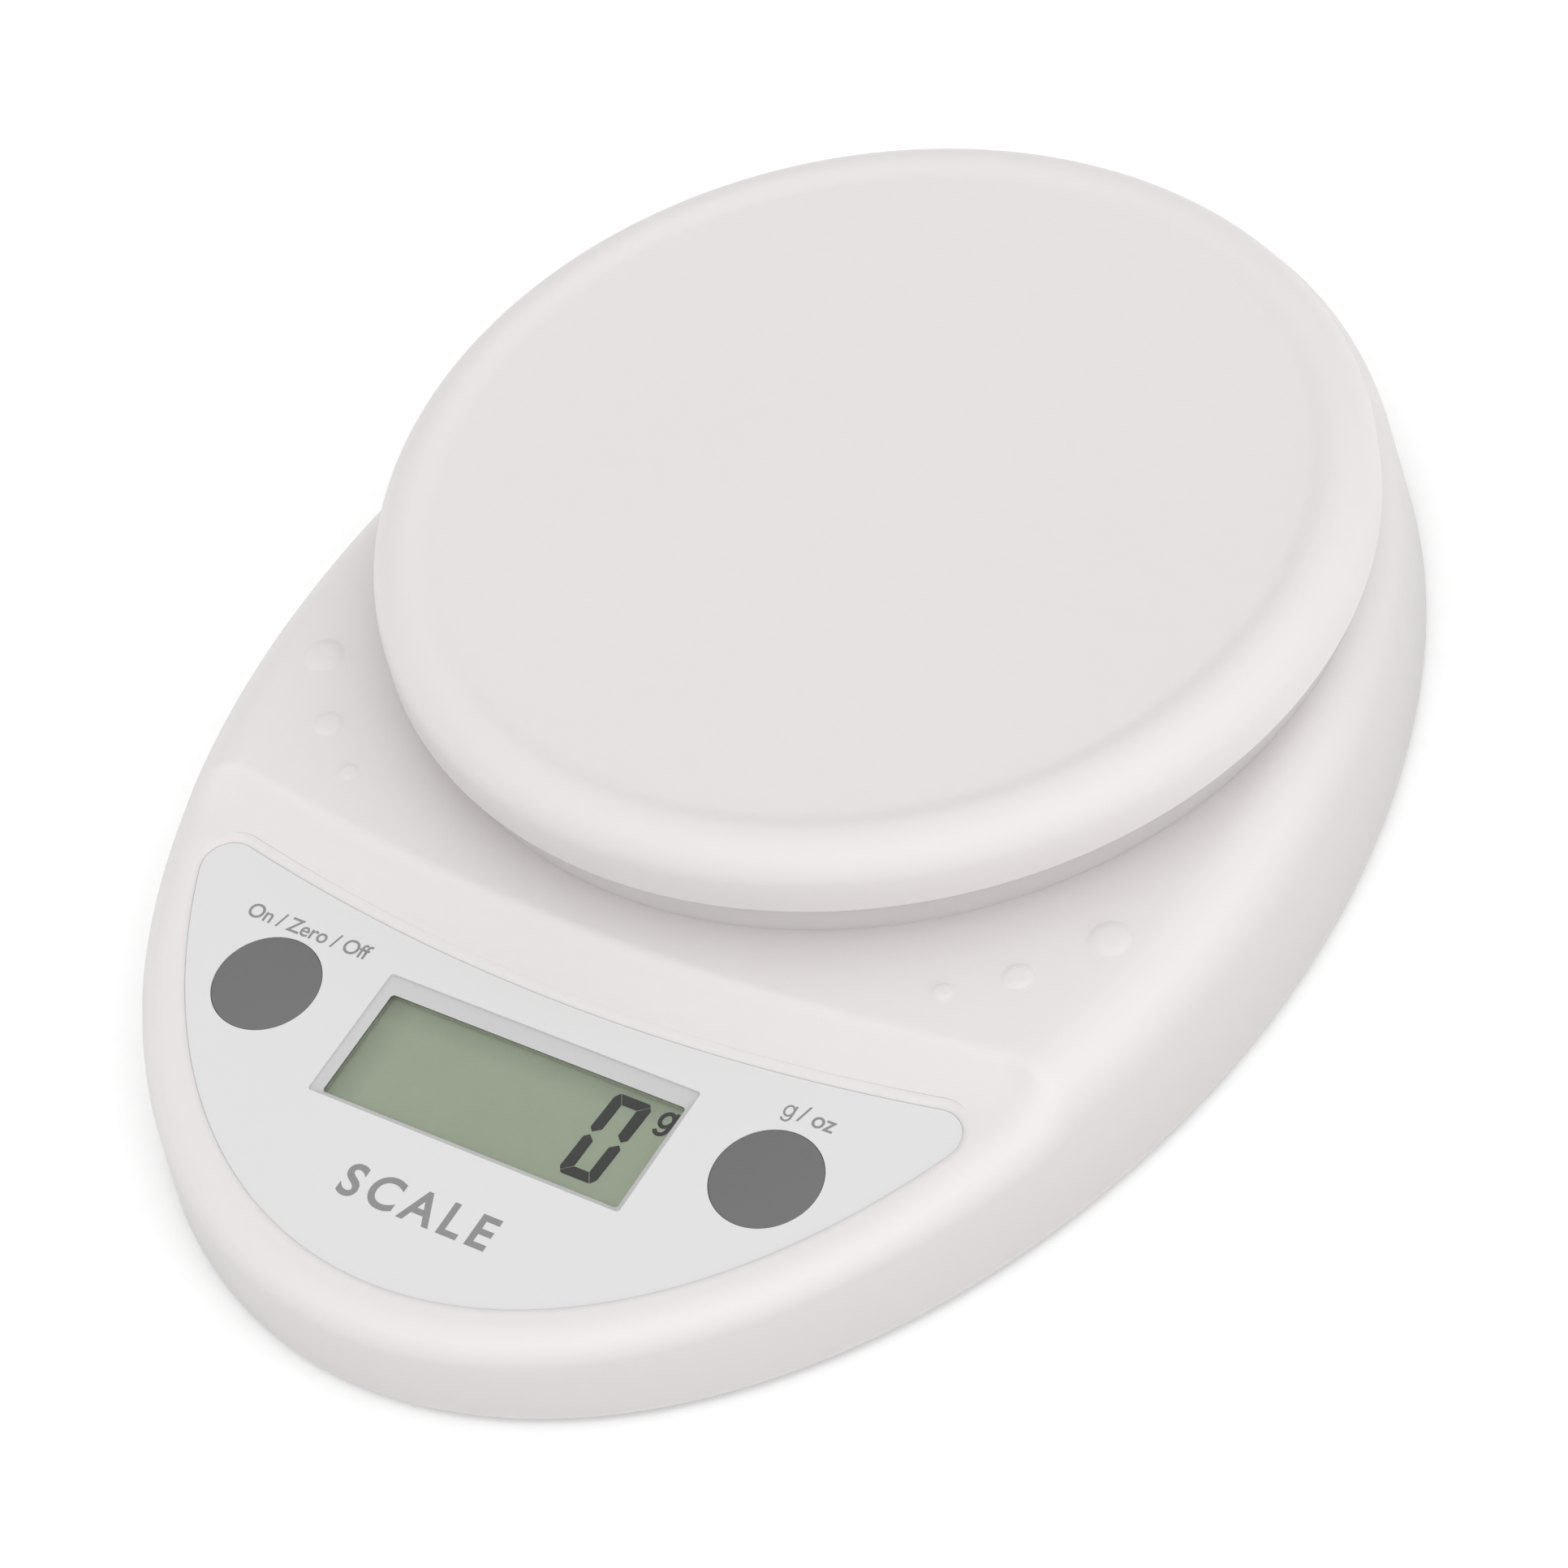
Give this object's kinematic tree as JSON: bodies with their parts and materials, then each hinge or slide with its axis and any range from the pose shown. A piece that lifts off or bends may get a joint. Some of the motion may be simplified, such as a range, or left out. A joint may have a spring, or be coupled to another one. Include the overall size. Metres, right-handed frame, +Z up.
{
  "type": "digital scale",
  "caption": "Compact battery-powered digital scale: egg-shaped off-white base, sloping console with display and keys, and a round weighing platform on a load cell.",
  "frame": {"origin": "on the table, under the middle of the base", "axes": "+X to the right as the user reads the display, +Y to the back along the base, +Z up"},
  "size_m": [0.1522, 0.2139, 0.0382],
  "materials": {
    "body_plastic": "smooth satin off-white ABS",
    "overlay_film": "printed polycarbonate film, satin",
    "frame_plastic": "light grey ABS, satin",
    "key_plastic": "mid grey, matte",
    "lcd_glass": "grey-green reflective LCD",
    "clear_window": "clear thin sheet",
    "circuit_board": "green solder mask",
    "black_epoxy": "cast black epoxy",
    "black_plastic": "black moulded plastic",
    "foot_rubber": "light grey rubber",
    "aluminium": "milled",
    "steel": "zinc or nickel plated steel",
    "white_sealant": "white silicone and cable jacket",
    "battery_sleeve": "printed foil sleeve",
    "red_wire": "PVC insulation"
  },
  "bodies": {
    "base": {"upper_housing": "body_plastic", "bottom_cover": "body_plastic", "foot_front_left": "foot_rubber", "foot_front_right": "foot_rubber", "foot_rear_left": "foot_rubber", "foot_rear_right": "foot_rubber", "overlay_film": "overlay_film", "display_frame": "frame_plastic", "display_window": "clear_window", "lcd_panel": "lcd_glass", "elastomer_connector": "black_plastic", "circuit_board": "circuit_board", "controller_chip": "black_epoxy", "left_switch": "black_plastic", "right_switch": "black_plastic", "board_screw_left": "steel", "board_screw_right": "steel", "load_cell": "aluminium", "gauge_sealant": "white_sealant", "load_cell_screw_1": "steel", "load_cell_screw_2": "steel", "front_battery": "battery_sleeve", "rear_battery": "battery_sleeve", "battery_link": "steel", "positive_terminal": "steel", "negative_terminal": "steel", "battery_lead_red": "red_wire", "battery_lead_black": "black_plastic", "load_cell_lead": "white_sealant", "cover_screw_1": "steel", "cover_screw_2": "steel", "cover_screw_3": "steel", "cover_screw_4": "steel", "cover_screw_5": "steel", "cover_screw_6": "steel"},
    "platform": {"weighing_platform": "body_plastic", "platform_support": "black_plastic", "support_spacer": "aluminium", "support_screw_1": "steel", "support_screw_2": "steel"},
    "left_key": {"left_key": "key_plastic", "left_switch_plunger": "key_plastic"},
    "right_key": {"right_key": "key_plastic", "right_switch_plunger": "key_plastic"},
    "battery_door": {"battery_door": "body_plastic"}
  },
  "joints": [
    {"name": "platform_press", "type": "slide", "parent": "base", "child": "platform", "axis": [0, 0, -1], "range_m": [0, 0.0008], "stiffness_N_per_m": 20000, "deforming": ["load_cell"]},
    {"name": "left_key_press", "type": "slide", "parent": "base", "child": "left_key", "axis": [0, 0.0722, -0.9974], "range_m": [0, 0.0005], "stiffness_N_per_m": 1500},
    {"name": "right_key_press", "type": "slide", "parent": "base", "child": "right_key", "axis": [0, 0.0722, -0.9974], "range_m": [0, 0.0005], "stiffness_N_per_m": 1500},
    {"name": "battery_door_hinge", "type": "hinge", "parent": "base", "child": "battery_door", "pos_m": [0, 0.0479, 0.0026], "axis": [-1, 0, 0], "range_deg": [0, 70]}
  ]
}
